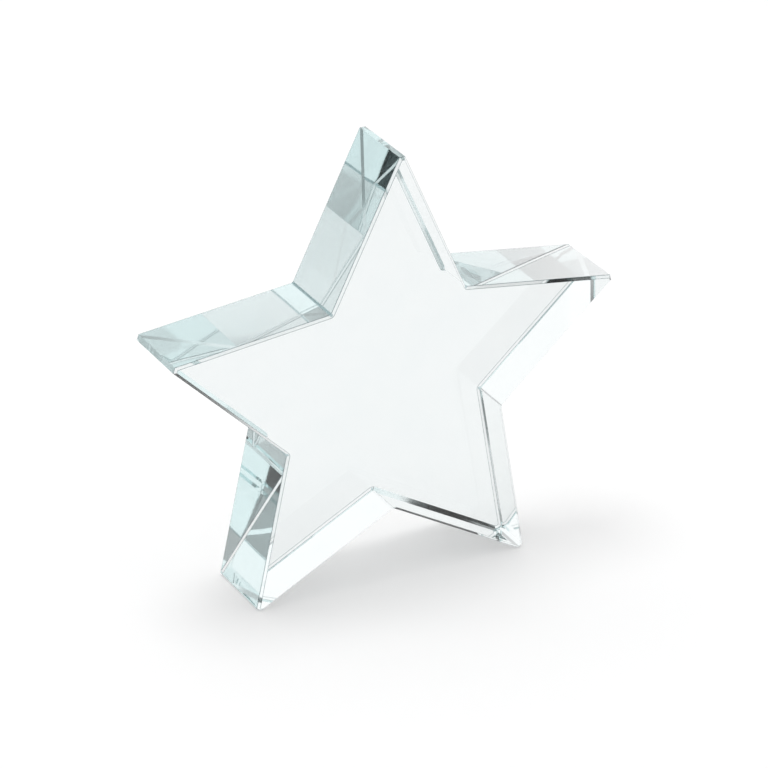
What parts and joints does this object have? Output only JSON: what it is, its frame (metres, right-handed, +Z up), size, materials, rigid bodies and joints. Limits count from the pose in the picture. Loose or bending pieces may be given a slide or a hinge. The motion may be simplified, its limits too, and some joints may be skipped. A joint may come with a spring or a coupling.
{
  "type": "star trophy",
  "caption": "Freestanding star award of solid optical crystal: a thick star-shaped glass prism with bevelled face edges that stands on its lower arms.",
  "frame": {"origin": "on the standing surface, midway between the two feet and midway through the thickness", "axes": "+X across the star, to the right as seen from the front; +Y from the front face to the back face; +Z up, along the top arm"},
  "size_m": [0.1406, 0.025, 0.1333],
  "materials": {
    "optical_crystal": "clear optical crystal, polished faces, walls and bevels, faint blue-green tint along the edges"
  },
  "bodies": {
    "root": {"crystal_star": "optical_crystal"}
  },
  "joints": []
}
